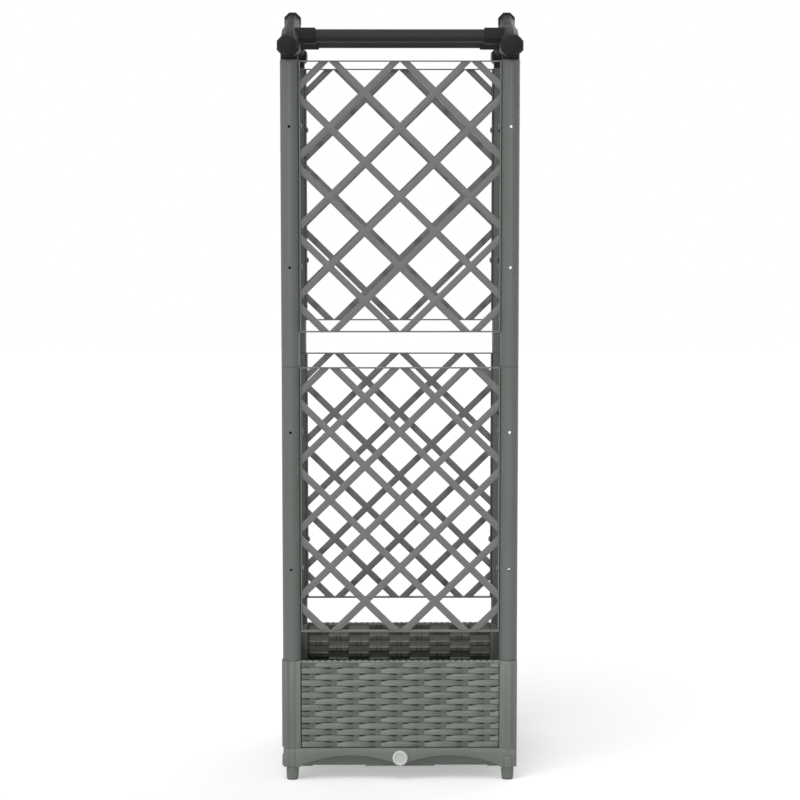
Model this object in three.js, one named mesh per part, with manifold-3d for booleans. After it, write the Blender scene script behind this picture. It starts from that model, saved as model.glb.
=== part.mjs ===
// Floor planter with a trellis frame: a woven-look box on four turned feet, four round
// posts that plug into the box's corner columns, two lattice panels on the front and two
// on the back, and a low gabled top of corner connectors, ridge joints and crossbars.
// Millimetres, +Z up, the front looks along -Y. Origin on the floor, in the middle.
import * as THREE from 'three';
import { mergeVertices } from 'three/addons/utils/BufferGeometryUtils.js';
import Module from 'manifold-3d';

// ---------------------------------------------------------------- driving dimensions
const FIT = 0.3;              // clearance, per side, where two pieces meet

// posts: round tubes whose narrowed lower end plugs into what is below
const POST_SPAN_X = 395;      // post axis to post axis, left to right
const POST_SPAN_Y = 295;      // post axis to post axis, front to back
const POST_D = 33;
const POST_WALL = 2;
const POST_PLUG = 60;         // narrowed end
const LOWER_POST = 537.7;     // shoulder to top
const UPPER_POST = 548.2;
const CROSS_HOLE_D = 5;       // hole in a post's outer wall, level with each screw
const ACCESS_HOLE_D = 14;     // larger hole opposite it, on the planter's inside
const POST_SIDES = 12;        // facets of posts and what plugs into them
const SIDES = 10;             // facets of the other round pieces
const FOOT_SIDES = 8;
const FITTING_SIDES = 8;      // the gabled top's fittings are octagonal

// feet and base skirt
const FOOT_H = 26;
const FOOT_TOP_D = 21.4;
const FOOT_BELLY_D = 22.8;
const FOOT_SOLE_D = 20;
const FOOT_PLUG_D = 16;
const FOOT_PLUG_L = 14;
const SKIRT_H = 35;
const SKIRT_WALL = 3;
const SKIRT_LEDGE = 6.75;     // ledge that carries the tray's rim
const SKIRT_LEDGE_T = 3;
const ARCH_RISE = 18.5;       // each side has two shallow arches
const ARCH_CROWN = 13.5;      // skirt left above an arch
const ARCH_STEPS = 6;
const PEG_H = 20;             // pegs that locate the corner columns
const NOTCH_H = 14.5;         // break in the column rib, above the base

// box walls: each is a woven panel with a corner column at its right-hand end
const COLUMN_EDGE = 0.5;      // the column is this much narrower than the post, per side
const COLUMN_CHAMFER = 2.5;
const RIB_W = 12.4;           // raised rib on the column's own side
const RIB_H = 2.5;
const BAND_W = 10.6;          // faint band on its other outer side
const BAND_H = 0.4;
const WEAVE_RECESS = 3;       // strands lie this far behind the column's face
const WEAVE_ROWS = 14;
const ROW_H = 11.45;
const STAKE_PITCH = 40;
const STAKE_W = 9;
const STRAND_H = 2.5;         // how far a strand bulges over a stake
const SKIN = 4;
const RIM_H = 1.9;            // scallops of the rope-like rim
const RIM_PITCH = 11.5;
const STRAND_EASE = (STAKE_PITCH - STAKE_W) / 2;   // strands of neighbouring rows meet midway
const TONGUE_L = 2.2;
const TONGUE_T = 3;
const TONGUE_STOP = 8;        // column left whole above the groove

// water tray and the perforated floor that stands over it
const TRAY_BOTTOM = 27;
const TRAY_WALL = 2.5;
const TRAY_RIM_T = 2.7;
const PAD_H = 2;
const PAD_MID = 126;          // long pad in the middle
const PAD_END = 21;           // short pads at the ends
const PAD_DEEP = 14;
const FLOOR_T = 3;
const WELL_W = 70;            // cups that carry soil down to the water
const WELL_X = 95;
const WELL_WALL = 2;
const SLOT_L = 30;
const SLOT_W = 5;
const SLOT_PITCH_X = 46;
const SLOT_PITCH_Y = 48;
const INLET_X = 152;
const INLET_Y = 110;
const INLET_W = 40;
const INLET_D = 30;

// drain plug
const DRAIN_Z = 43.4;
const DRAIN_D = 27.5;
const DRAIN_T = 4.5;
const DRAIN_RING = 3.5;
const DRAIN_RING_H = 1.2;
const DRAIN_NECK_D = 19.5;
const DRAIN_STEM_D = 13.4;
const DRAIN_STEM_L = 8;       // how far the stem reaches past the seal
const DRAIN_BOSS_D = 22;
const SEAL_T = 2;

// trellis panels
const PANEL_H = 485;
const PANEL_DROP = 1.5;       // panel top below the top of its tube
const BORDER_T = 2;
const BORDER_DEEP = 12;
const STRIP_W = 12;
const STRIP_T = 5.5;
const LATTICE_X = 127;        // diamond, across
const LATTICE_Z = 124.6;      // diamond, up
const SCREW_INSET = 117;      // from each end of the panel
const SCREW_HEAD_D = 11;
const SCREW_HEAD_H = 3;
const SCREW_D = 4.4;
const SCREW_L = 12;

// gabled top
const HUB_RISE = 22.7;        // hub axis above the post's top
const HUB_PLUG = 40;
const COLLAR_D = 31;
const BARREL_D = 39;
const BARREL_OUT = 44.5;
const BARREL_IN = 17;
const ARM_D = 26;
const RIDGE_RISE = 56;        // ridge axis above the hub axis
const TEE_D = 32;
const TEE_REACH = 16;         // along the arm, past the sleeve's axis
const TEE_OUT = 59;           // sleeve axis inward of the post, front to back
const SLEEVE_D = 28.7;
const SLEEVE_L = 45;
const SLEEVE_BACK = 10;       // web left behind the sleeve's bore
const BAR_D = 23.3;
const BAR_WALL = 2;
const RIDGE_D = 30;
const RIDGE_HALF = 12;        // ridge joint's reach to each side, front to back
const RIDGE_DROP = 2;         // the arms meet it this far below its axis
const RIDGE_PLUG_D = 21;      // level plug at an arm's end
const RIDGE_PLUG_GAP = 2;     // between a plug's end and the middle
const BALL_D = 36;
const BALL_STEM_D = 16;
const BALL_STEM_L = 18;

// ---------------------------------------------------------------- derived levels
const PX = POST_SPAN_X / 2;
const PY = POST_SPAN_Y / 2;
const BORE_D = POST_D - 2 * POST_WALL;
const PLUG_D = BORE_D - 2 * FIT;
const HALF = POST_D / 2 - COLUMN_EDGE;                  // half of a column
const BASE_TOP = FOOT_H + SKIRT_H;
const WALL_BOTTOM = BASE_TOP + FIT;
const WEAVE_TOP = WALL_BOTTOM + WEAVE_ROWS * ROW_H;
const WALL_TOP = WEAVE_TOP + RIM_H;
const LOWER_Z = WALL_TOP + FIT;
const SEAM_Z = LOWER_Z + LOWER_POST;
const UPPER_Z = SEAM_Z + FIT;
const TUBE_TOP = UPPER_Z + UPPER_POST;
const HUB_Z = TUBE_TOP + HUB_RISE;
const RIDGE_Z = HUB_Z + RIDGE_RISE;
const CREST = HALF - WEAVE_RECESS;                      // from a column's axis, outward
const SKIN_OUT = CREST - STRAND_H;
const SKIN_IN = SKIN_OUT - SKIN;
const PANEL_W = POST_SPAN_X - POST_D - 2 * FIT;
const SCREW_HOLE = SCREW_D + 4 * FIT;
const PANEL_BOTTOMS = [SEAM_Z - PANEL_DROP - PANEL_H, TUBE_TOP - PANEL_DROP - PANEL_H];

// ---------------------------------------------------------------- solids
const wasm = await Module();
wasm.setup();

// a closed three.js geometry as a solid: shared corners merged, empty triangles dropped
function solid(geometry) {
  const bare = geometry.clone();
  for (const name of Object.keys(bare.attributes)) if (name !== 'position') bare.deleteAttribute(name);
  const merged = mergeVertices(bare, 1e-4);
  const tri = [];
  const ix = merged.index.array;
  for (let i = 0; i < ix.length; i += 3) {
    const [a, b, c] = [ix[i], ix[i + 1], ix[i + 2]];
    if (a !== b && b !== c && c !== a) tri.push(a, b, c);
  }
  return new wasm.Manifold(new wasm.Mesh({
    numProp: 3,
    vertProperties: new Float32Array(merged.attributes.position.array),
    triVerts: new Uint32Array(tri),
  }));
}

// flat faces that joins and cuts have split are made whole again
function geometryOf(body) {
  const mesh = body.asOriginal().simplify(0.003).getMesh();
  const geometry = new THREE.BufferGeometry();
  geometry.setAttribute('position', new THREE.BufferAttribute(new Float32Array(mesh.vertProperties), 3));
  geometry.setIndex(new THREE.BufferAttribute(new Uint32Array(mesh.triVerts), 1));
  geometry.computeVertexNormals();
  return geometry;
}

const join = (first, ...rest) => rest.reduce((sum, part) => sum.add(part), first);
const cut = (body, ...tools) => tools.reduce((left, tool) => left.subtract(tool), body);

// an outline in X and Y, raised from z0 to z1; holes are outlines too
function raise(points, z0, z1, holes = []) {
  const shape = new THREE.Shape(points.map(([x, y]) => new THREE.Vector2(x, y)));
  for (const hole of holes) shape.holes.push(new THREE.Path(hole.map(([x, y]) => new THREE.Vector2(x, y))));
  const geometry = new THREE.ExtrudeGeometry(shape, { depth: z1 - z0, bevelEnabled: false });
  return geometry.translate(0, 0, z0);
}

const rect = (x0, x1, y0, y1) => [[x0, y0], [x1, y0], [x1, y1], [x0, y1]];
const block = (x0, x1, y0, y1, z0, z1) => solid(raise(rect(x0, x1, y0, y1), z0, z1));

// a regular outline with flats on the axes, measured across its flats
function ringOutline(d, sides) {
  const r = d / 2 / Math.cos(Math.PI / sides);
  return Array.from({ length: sides }, (_, i) => {
    const a = (i + 0.5) * 2 * Math.PI / sides;
    return [r * Math.cos(a), r * Math.sin(a)];
  });
}

// a profile of [radius, height] pairs turned round Z, radii measured to the flats
function turned(profile, sides) {
  const k = 1 / Math.cos(Math.PI / sides);
  const points = profile.map(([r, z]) => new THREE.Vector2(r * k, z));
  return new THREE.LatheGeometry(points, sides, Math.PI / sides + Math.PI / 2, 2 * Math.PI).rotateX(Math.PI / 2);
}

const rod = (d, z0, z1, sides = SIDES) => raise(ringOutline(d, sides), z0, z1);
const alongX = (geometry) => geometry.rotateY(Math.PI / 2);
const alongY = (geometry) => geometry.rotateX(-Math.PI / 2);     // +Z goes to +Y
const slot = (x, y, w, d) => rect(x - w / 2, x + w / 2, y - d / 2, y + d / 2);

// exact quarter turns about Z
const QUARTERS = [[1, 0], [0, 1], [-1, 0], [0, -1]];
function quarter(geometry, k) {
  const [c, s] = QUARTERS[k];
  return geometry.applyMatrix4(new THREE.Matrix4().set(c, -s, 0, 0, s, c, 0, 0, 0, 0, 1, 0, 0, 0, 0, 1));
}

// ---------------------------------------------------------------- materials
const look = (color, roughness) => new THREE.MeshStandardMaterial({ color, roughness, metalness: 0 });
const RESIN = look(0x6f736d, 0.55);
const RESIN_DARK = look(0x575954, 0.6);
const FITTING = look(0x2e2f2e, 0.45);
const PLUG_GREY = look(0xc4c5c2, 0.4);
const RUBBER = look(0x1c1c1c, 0.8);
const STEEL = look(0x4a4b49, 0.4);

const planter = new THREE.Group();
function piece(name, geometry, material, x = 0, y = 0, z = 0, turn = 0) {
  const mesh = new THREE.Mesh(geometry, material);
  mesh.name = name;
  mesh.position.set(x, y, z);
  mesh.rotation.z = turn;
  planter.add(mesh);
}

const CORNERS = [
  ['front_left', -1, -1], ['front_right', 1, -1], ['back_right', 1, 1], ['back_left', -1, 1],
];

// ---------------------------------------------------------------- box walls
// Seen from outside, local x runs left to right, the outside is -y and the column is at +x.
// along: half the post span in the wall's own direction. out: post axis to the middle.
const columnOutline = (rib) => [
  [-HALF, -HALF],
  ...(rib ? [[-RIB_W / 2, -HALF], [-RIB_W / 2, -HALF - RIB_H], [RIB_W / 2, -HALF - RIB_H], [RIB_W / 2, -HALF]] : []),
  [HALF - COLUMN_CHAMFER, -HALF], [HALF, -HALF + COLUMN_CHAMFER],
  [HALF, -BAND_W / 2], [HALF + BAND_H, -BAND_W / 2], [HALF + BAND_H, BAND_W / 2], [HALF, BAND_W / 2],
  [HALF, HALF], [-HALF, HALF],
];
const moved = (points, dx, dy) => points.map(([x, y]) => [x + dx, y + dy]);

// the outside of one row: strands bulge over every second stake, eased down at both ends
function strandLine(x0, x1, shift, y) {
  const half = STAKE_PITCH - STAKE_W / 2;
  const knots = [];
  const reach = Math.ceil((x1 - x0) / STAKE_PITCH) + 2;
  for (let i = -reach; i <= reach; i++) {
    const c = (2 * i + shift) * STAKE_PITCH;
    knots.push([c - half, 0], [c - half + STRAND_EASE, 1], [c + half - STRAND_EASE, 1], [c + half, 0]);
  }
  const heightAt = (x) => {
    const k = knots.findIndex(([kx]) => kx > x);
    const [[xa, ha], [xb, hb]] = [knots[k - 1], knots[k]];
    return ha + (hb - ha) * (x - xa) / (xb - xa);
  };
  const inside = knots.filter(([x]) => x > x0 + 0.01 && x < x1 - 0.01);
  return [[x0, heightAt(x0)], ...inside, [x1, heightAt(x1)]].map(([x, h]) => [x, y - h * STRAND_H]);
}

function wall(along, out) {
  const x0 = -along + HALF + FIT;
  const x1 = along - HALF + 1;                       // runs into its own column
  const front = -out - SKIN_OUT;
  const back = -out - SKIN_IN;
  const outlines = [0, 1].map((shift) => [...strandLine(x0, x1, shift, front), [x1, back], [x0, back]]);
  const rows = Array.from({ length: WEAVE_ROWS }, (_, i) =>
    solid(raise(outlines[i % 2], WALL_BOTTOM + i * ROW_H, WALL_BOTTOM + (i + 1) * ROW_H)));

  // rim: a row of scallops, drawn in X and Z and run through the wall's thickness
  const n = Math.round((x1 - x0) / RIM_PITCH);
  const rim = [[x0, WEAVE_TOP - 1]];
  rim.push([x1, WEAVE_TOP - 1], [x1, WEAVE_TOP + RIM_H / 4]);
  for (let i = n; i > 0; i--) {
    const [a, b] = [x0 + (x1 - x0) * (i - 0.5) / n, x0 + (x1 - x0) * (i - 1) / n];
    rim.push([a, WEAVE_TOP + RIM_H], [b, WEAVE_TOP + RIM_H / 4]);
  }
  const edge = raise(rim, 0, SKIN_OUT - SKIN_IN + STRAND_H).rotateX(Math.PI / 2).translate(0, back, 0);

  const column = raise(moved(columnOutline(true), along, -out), WALL_BOTTOM, WALL_TOP,
    [moved(ringOutline(BORE_D, POST_SIDES), along, -out)]);
  const tongue = block(-along + HALF - TONGUE_L, x0 + 1, front, front + TONGUE_T,
    WALL_BOTTOM, WALL_TOP - TONGUE_STOP - FIT);
  const groove = block(along + SKIN_OUT - TONGUE_T - FIT, along + SKIN_OUT + FIT,
    -out + HALF - TONGUE_L - FIT, -out + HALF + 1, WALL_BOTTOM - 1, WALL_TOP - TONGUE_STOP);
  return geometryOf(cut(join(...rows, solid(edge), solid(column), tongue), groove));
}

const wideWall = wall(PX, PY);
const sideWall = wall(PY, PX);
piece('wall_front', wideWall, RESIN);
piece('wall_right', sideWall, RESIN, 0, 0, 0, Math.PI / 2);
piece('wall_back', wideWall.clone(), RESIN, 0, 0, 0, Math.PI);
piece('wall_left', sideWall.clone(), RESIN, 0, 0, 0, -Math.PI / 2);

// ---------------------------------------------------------------- base skirt
// One side in X and Z: full depth at the ends, two shallow arches between.
function skirtSide(along, out) {
  const half = along - HALF;
  const span = half / 2;                             // half of one arch
  const radius = (span * span + ARCH_RISE * ARCH_RISE) / (2 * ARCH_RISE);
  const crown = BASE_TOP - ARCH_CROWN;
  const points = [[-half - 1, FOOT_H], [-half, FOOT_H]];
  for (const c of [-span, span]) {
    for (let i = 0; i <= ARCH_STEPS; i++) {
      const dx = span * (2 * i / ARCH_STEPS - 1);
      if (c > 0 && i === 0) continue;                // the two arches share one cusp
      points.push([c + dx, crown - radius + Math.sqrt(radius * radius - dx * dx)]);
    }
  }
  points.push([half, FOOT_H], [half + 1, FOOT_H], [half + 1, BASE_TOP], [-half - 1, BASE_TOP]);
  const wallOut = out + HALF;
  const face = raise(points, 0, SKIRT_WALL).rotateX(Math.PI / 2).translate(0, -wallOut + SKIRT_WALL, 0);
  const ledgeTop = BASE_TOP - TRAY_RIM_T - FIT;
  const ledge = block(-half - 1, half + 1, -wallOut + 1, -wallOut + SKIRT_WALL + SKIRT_LEDGE,
    ledgeTop - SKIRT_LEDGE_T, ledgeTop);
  return solid(face).add(ledge);
}

function baseCorner() {
  const body = solid(raise(columnOutline(false), FOOT_H, BASE_TOP));
  const rib = block(-RIB_W / 2, RIB_W / 2, -HALF - RIB_H, -HALF + 1, FOOT_H, BASE_TOP - NOTCH_H);
  const peg = solid(rod(PLUG_D, BASE_TOP - 1, BASE_TOP + PEG_H, POST_SIDES));
  const socket = solid(rod(FOOT_PLUG_D + 2 * FIT, FOOT_H - 1, FOOT_H + FOOT_PLUG_L + FIT, FOOT_SIDES));
  return geometryOf(cut(join(body, rib, peg), socket));
}

function baseSkirt() {
  const corner = baseCorner();
  const sides = [skirtSide(PX, PY), skirtSide(PY, PX)];
  const turnedSide = (k) => solid(quarter(geometryOf(sides[k % 2]), k));
  const spots = [[PX, PY], [PY, PX]];
  const turnedCorner = (k) => {
    const [along, out] = spots[k % 2];
    return solid(quarter(corner.clone().translate(along, -out, 0), k));
  };
  const ring = join(...[0, 1, 2, 3].flatMap((k) => [turnedSide(k), turnedCorner(k)]));
  const drain = solid(alongY(rod(DRAIN_NECK_D + 4 * FIT, 0, SKIRT_WALL + 2)).translate(0, -PY - HALF - 1, DRAIN_Z));
  return geometryOf(cut(ring, drain));
}
piece('base_skirt', baseSkirt(), RESIN);

// ---------------------------------------------------------------- feet
const foot = geometryOf(solid(turned([
  [0, 0], [FOOT_SOLE_D / 2, 0], [FOOT_BELLY_D / 2, FOOT_H * 0.5], [FOOT_TOP_D / 2, FOOT_H - FIT],
  [FOOT_PLUG_D / 2, FOOT_H - FIT], [FOOT_PLUG_D / 2, FOOT_H + FOOT_PLUG_L], [0, FOOT_H + FOOT_PLUG_L],
], FOOT_SIDES)));
for (const [name, sx, sy] of CORNERS) piece(`foot_${name}`, foot.clone(), RESIN, sx * PX, sy * PY);

// ---------------------------------------------------------------- water tray and soil floor
// a rectangle with its corners stepped in to clear the corner columns
function stepped(x, y, cx, cy) {
  return [[-cx, -y], [cx, -y], [cx, -cy], [x, -cy], [x, cy], [cx, cy],
    [cx, y], [-cx, y], [-cx, cy], [-x, cy], [-x, -cy], [-cx, -cy]];
}
const STEP_X = PX - HALF - FIT;
const STEP_Y = PY - HALF - FIT;
const TRAY_X = PX + HALF - SKIRT_WALL - SKIRT_LEDGE - FIT;
const TRAY_Y = PY + HALF - SKIRT_WALL - SKIRT_LEDGE - FIT;
const TRAY_FLOOR = TRAY_BOTTOM + TRAY_WALL;

function waterTray() {
  const t = TRAY_WALL;
  const rimX = PX + HALF - SKIRT_WALL - FIT;
  const rimY = PY + HALF - SKIRT_WALL - FIT;
  const shell = solid(raise(stepped(TRAY_X, TRAY_Y, STEP_X, STEP_Y), TRAY_BOTTOM, BASE_TOP));
  const rim = solid(raise(stepped(rimX, rimY, STEP_X, STEP_Y), BASE_TOP - TRAY_RIM_T, BASE_TOP));
  const hollow = solid(raise(stepped(TRAY_X - t, TRAY_Y - t, STEP_X - t, STEP_Y - t), TRAY_FLOOR, BASE_TOP + 1));
  const pads = [];
  for (const side of [-1, 1]) {
    const [ya, yb] = side < 0 ? [-TRAY_Y, -TRAY_Y + PAD_DEEP] : [TRAY_Y - PAD_DEEP, TRAY_Y];
    for (const [xa, xb] of [[-PAD_MID / 2, PAD_MID / 2], [-STEP_X, -STEP_X + PAD_END], [STEP_X - PAD_END, STEP_X]]) {
      pads.push(block(xa, xb, ya, yb, TRAY_BOTTOM - PAD_H, TRAY_BOTTOM + 1));
    }
  }
  const bossFront = -PY - HALF + SKIRT_WALL + SEAL_T + FIT;
  const boss = solid(alongY(rod(DRAIN_BOSS_D, 0, -TRAY_Y + 1 - bossFront)).translate(0, bossFront, DRAIN_Z));
  const bore = solid(alongY(rod(DRAIN_STEM_D + 2 * FIT, 0, -TRAY_Y + TRAY_WALL + 1 - bossFront + 1))
    .translate(0, bossFront - 1, DRAIN_Z));
  return geometryOf(cut(join(shell, rim, ...pads, boss), hollow, bore));
}
piece('water_tray', waterTray(), RESIN_DARK);

function soilFloor() {
  const z0 = WALL_BOTTOM;
  const z1 = z0 + FLOOR_T;
  const slots = [];
  for (const x of [-1.5, -0.5, 0.5, 1.5]) {
    for (const y of [-2, 2]) slots.push(slot(x * SLOT_PITCH_X, y * SLOT_PITCH_Y, SLOT_L, SLOT_W));
  }
  for (const y of [-1, 0, 1]) slots.push(slot(0, y * SLOT_PITCH_Y, SLOT_L, SLOT_W));
  slots.push(slot(-INLET_X, 0, SLOT_W, SLOT_L), slot(INLET_X, 0, SLOT_W, SLOT_L));
  slots.push(slot(INLET_X, INLET_Y, INLET_W, INLET_D));
  const plate = solid(raise(stepped(PX + SKIN_IN - FIT, PY + SKIN_IN - FIT, STEP_X, STEP_Y), z0, z1));
  const punches = slots.map((outline) => solid(raise(outline, z0 - 1, z1 + 1)));
  const h = WELL_W / 2;
  const cups = [-WELL_X, WELL_X].map((x) => block(x - h, x + h, -h, h, TRAY_FLOOR + FIT, z1 - 1));
  const insides = [-WELL_X, WELL_X].flatMap((x) => [
    block(x - h + WELL_WALL, x + h - WELL_WALL, -h + WELL_WALL, h - WELL_WALL, TRAY_FLOOR + FIT + WELL_WALL, z1 + 1),
    block(x - SLOT_L / 2, x + SLOT_L / 2, -SLOT_W, SLOT_W, TRAY_FLOOR, TRAY_FLOOR + FIT + WELL_WALL + 1),
  ]);
  return geometryOf(cut(join(plate, ...cups), ...insides, ...punches));
}
piece('soil_floor', soilFloor(), RESIN_DARK);

// ---------------------------------------------------------------- drain plug and its seal
const DRAIN_FACE = -PY - HALF;                       // outside of the skirt
function drainPlug() {
  const back = FIT;                                  // flange clears the skirt
  const front = DRAIN_T;
  const seat = -SKIRT_WALL;                          // neck ends level with the skirt's inside
  const profile = [
    [0, front - DRAIN_RING_H], [DRAIN_D / 2 - DRAIN_RING, front - DRAIN_RING_H], [DRAIN_D / 2 - DRAIN_RING, front],
    [DRAIN_D / 2 - 0.8, front], [DRAIN_D / 2, front - 0.8], [DRAIN_D / 2, back], [DRAIN_NECK_D / 2, back],
    [DRAIN_NECK_D / 2, seat], [DRAIN_STEM_D / 2, seat], [DRAIN_STEM_D / 2, seat - SEAL_T - DRAIN_STEM_L],
    [0, seat - SEAL_T - DRAIN_STEM_L],
  ].reverse();
  return geometryOf(solid(turned(profile, SIDES)).rotate([90, 0, 0]));
}
piece('drain_plug', drainPlug(), PLUG_GREY, 0, DRAIN_FACE, DRAIN_Z);

const sealRing = geometryOf(solid(alongY(raise(ringOutline(DRAIN_NECK_D, SIDES), 0, SEAL_T - FIT,
  [ringOutline(DRAIN_STEM_D + 2 * FIT, SIDES)]))));
piece('drain_seal', sealRing, RUBBER, 0, DRAIN_FACE + SKIRT_WALL + FIT, DRAIN_Z);

// ---------------------------------------------------------------- posts
// sx, sy: the post's corner. Screw holes look inward along X. Along Y each level has a small
// hole outside and an access hole inside.
function post(length, zShoulder, panelBottom, sx, sy) {
  const [ro, ri, rp] = [POST_D / 2, BORE_D / 2, PLUG_D / 2];
  const rq = rp - POST_WALL;
  const tube = solid(turned([
    [rq, -POST_PLUG], [rp, -POST_PLUG], [rp, 0], [ro, 0], [ro, length], [ri, length], [ri, POST_WALL],
    [rq, POST_WALL], [rq, -POST_PLUG],
  ], POST_SIDES));
  const holes = [panelBottom + SCREW_INSET, panelBottom + PANEL_H - SCREW_INSET].flatMap((z) => {
    const outer = alongY(rod(CROSS_HOLE_D, -ro - 1, 0, 6)).rotateZ(sy > 0 ? Math.PI : 0);
    const inner = alongY(rod(ACCESS_HOLE_D, 0, ro + 1, 6)).rotateZ(sy > 0 ? Math.PI : 0);
    const side = alongX(rod(SCREW_HOLE, 0, ro + 1, 4)).rotateZ(sx > 0 ? Math.PI : 0);
    return [outer, inner, side].map((hole) => solid(hole.translate(0, 0, z - zShoulder)));
  });
  return geometryOf(cut(tube, ...holes));
}
for (const [name, sx, sy] of CORNERS) {
  const [lower, upper] = [
    post(LOWER_POST, LOWER_Z, PANEL_BOTTOMS[0], sx, sy), post(UPPER_POST, UPPER_Z, PANEL_BOTTOMS[1], sx, sy),
  ];
  piece(`lower_post_${name}`, lower, RESIN, sx * PX, sy * PY, LOWER_Z);
  piece(`upper_post_${name}`, upper, RESIN, sx * PX, sy * PY, UPPER_Z);
}

// ---------------------------------------------------------------- trellis panels
// Drawn in X and Y (Y is the panel's height), then stood up. Diagonal strips cross in one
// plane inside a thin, deeper border.
function trellis() {
  const [w, h] = [PANEL_W / 2, PANEL_H / 2];
  const diag = Math.atan2(LATTICE_Z, LATTICE_X);
  const normal = new THREE.Vector2(Math.sin(diag), Math.cos(diag));
  const pitch = LATTICE_X * Math.sin(diag);
  const reach = Math.ceil((w / LATTICE_X + h / LATTICE_Z));
  const long = w + h;
  const strips = [];
  for (let k = -reach; k <= reach; k++) {
    for (const s of [-1, 1]) {
      const bar = raise(rect(-long, long, -STRIP_W / 2, STRIP_W / 2), -STRIP_T / 2, STRIP_T / 2);
      strips.push(solid(bar.rotateZ(s * diag).translate(-s * normal.x * k * pitch, normal.y * k * pitch, 0)));
    }
  }
  const inner = solid(raise(rect(-w + BORDER_T / 2, w - BORDER_T / 2, -h + BORDER_T / 2, h - BORDER_T / 2),
    -STRIP_T, STRIP_T));
  const lattice = join(...strips).intersect(inner);
  const border = solid(raise(rect(-w, w, -h, h), -BORDER_DEEP / 2, BORDER_DEEP / 2,
    [rect(-w + BORDER_T, w - BORDER_T, -h + BORDER_T, h - BORDER_T)]));
  const holes = [-1, 1].flatMap((sx) => [-1, 1].map((sz) =>
    solid(alongX(rod(SCREW_HOLE, -BORDER_T, BORDER_T, 4)).translate(sx * (w - BORDER_T / 2), sz * (h - SCREW_INSET), 0))));
  return geometryOf(cut(lattice.add(border), ...holes)).rotateX(Math.PI / 2);
}
const panel = trellis();
const LEVELS = [['lower', 0], ['upper', 1]];
for (const [side, sy] of [['front', -1], ['back', 1]]) {
  for (const [level, i] of LEVELS) {
    piece(`trellis_${side}_${level}`, panel.clone(), RESIN, 0, sy * PY, PANEL_BOTTOMS[i] + PANEL_H / 2);
  }
}

// screws: head inside the panel's border, shank through it into the post
const screw = geometryOf(solid(turned([
  [0, -SCREW_HEAD_H - FIT], [SCREW_HEAD_D / 2, -SCREW_HEAD_H - FIT + 1], [SCREW_HEAD_D / 2, -FIT], [SCREW_D / 2, -FIT],
  [SCREW_D / 2, SCREW_L], [0, SCREW_L],
], 6))).rotateY(Math.PI / 2);
for (const [name, sx, sy] of CORNERS) {
  for (const [level, i] of LEVELS) {
    for (const [spot, z] of [['low', SCREW_INSET], ['high', PANEL_H - SCREW_INSET]]) {
      piece(`screw_${name}_${level}_${spot}`, screw.clone(), STEEL,
        sx * (PANEL_W / 2 - BORDER_T), sy * PY, PANEL_BOTTOMS[i] + z, sx > 0 ? 0 : Math.PI);
    }
  }
}

// ---------------------------------------------------------------- gabled top
// A connector is drawn for a front corner, its hub axis at the origin: the plug and collar
// go down, the barrel forward, the arm back and up to the ridge, the sleeve to the other side.
const SLOPE = Math.atan2(RIDGE_RISE - RIDGE_DROP, PY - RIDGE_HALF);
const ARM_LEN = (PY - RIDGE_HALF) / Math.cos(SLOPE);
const upSlope = (geometry) => geometry.rotateX(SLOPE);          // a shape along +Y, tilted up
function connector(toward) {
  const plug = solid(rod(PLUG_D, -HUB_RISE - HUB_PLUG, -HUB_RISE + 1, POST_SIDES));
  const collar = solid(rod(COLLAR_D, -HUB_RISE + FIT, 0));
  const barrel = solid(alongY(rod(BARREL_D, -BARREL_OUT, BARREL_IN, FITTING_SIDES)));
  const ridge = PY - RIDGE_HALF - FIT;               // where the arm is cut off upright
  const tee = TEE_OUT / Math.cos(SLOPE) + TEE_REACH;
  const run = solid(upSlope(alongY(rod(TEE_D, 0, tee, FITTING_SIDES))));
  const arm = solid(upSlope(alongY(rod(ARM_D, tee - 1, ARM_LEN + ARM_D / 2, FITTING_SIDES))))
    .intersect(block(-ARM_D, ARM_D, 0, ridge, -ARM_D, RIDGE_RISE + ARM_D));
  const end = solid(alongY(rod(RIDGE_PLUG_D, ridge - FIT, PY - RIDGE_PLUG_GAP, FITTING_SIDES))
    .translate(0, 0, RIDGE_RISE));
  const teeZ = TEE_OUT * Math.tan(SLOPE);
  const sleeve = solid(alongX(rod(SLEEVE_D, Math.min(0, toward * SLEEVE_L), Math.max(0, toward * SLEEVE_L),
    FITTING_SIDES)).translate(0, TEE_OUT, teeZ));
  const [b0, b1] = [toward * SLEEVE_BACK, toward * (SLEEVE_L + 1)];
  const bore = solid(alongX(rod(BAR_D + 2 * FIT, Math.min(b0, b1), Math.max(b0, b1))).translate(0, TEE_OUT, teeZ));
  const stem = solid(alongY(rod(BALL_STEM_D + 2 * FIT, -BARREL_OUT - 1, -BARREL_OUT + BALL_STEM_L + FIT,
    FITTING_SIDES)));
  return geometryOf(cut(join(collar, plug, barrel, run, arm, end, sleeve), bore, stem));
}
const connectors = [connector(1), connector(-1)];    // sleeve to +X, sleeve to -X
const ball = geometryOf(join(
  solid(new THREE.SphereGeometry(BALL_D / 2, FITTING_SIDES, 6)),
  solid(alongY(rod(BALL_STEM_D, 0, BALL_D / 2 + FIT + BALL_STEM_L, FITTING_SIDES))),
));
for (const [name, sx, sy] of CORNERS) {
  const flip = sy > 0 ? Math.PI : 0;
  piece(`connector_${name}`, connectors[sx * sy > 0 ? 0 : 1].clone(), FITTING, sx * PX, sy * PY, HUB_Z, flip);
  piece(`ball_cap_${name}`, ball.clone(), FITTING, sx * PX, sy * (PY + BARREL_OUT + FIT + BALL_D / 2), HUB_Z, flip);
}

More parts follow.
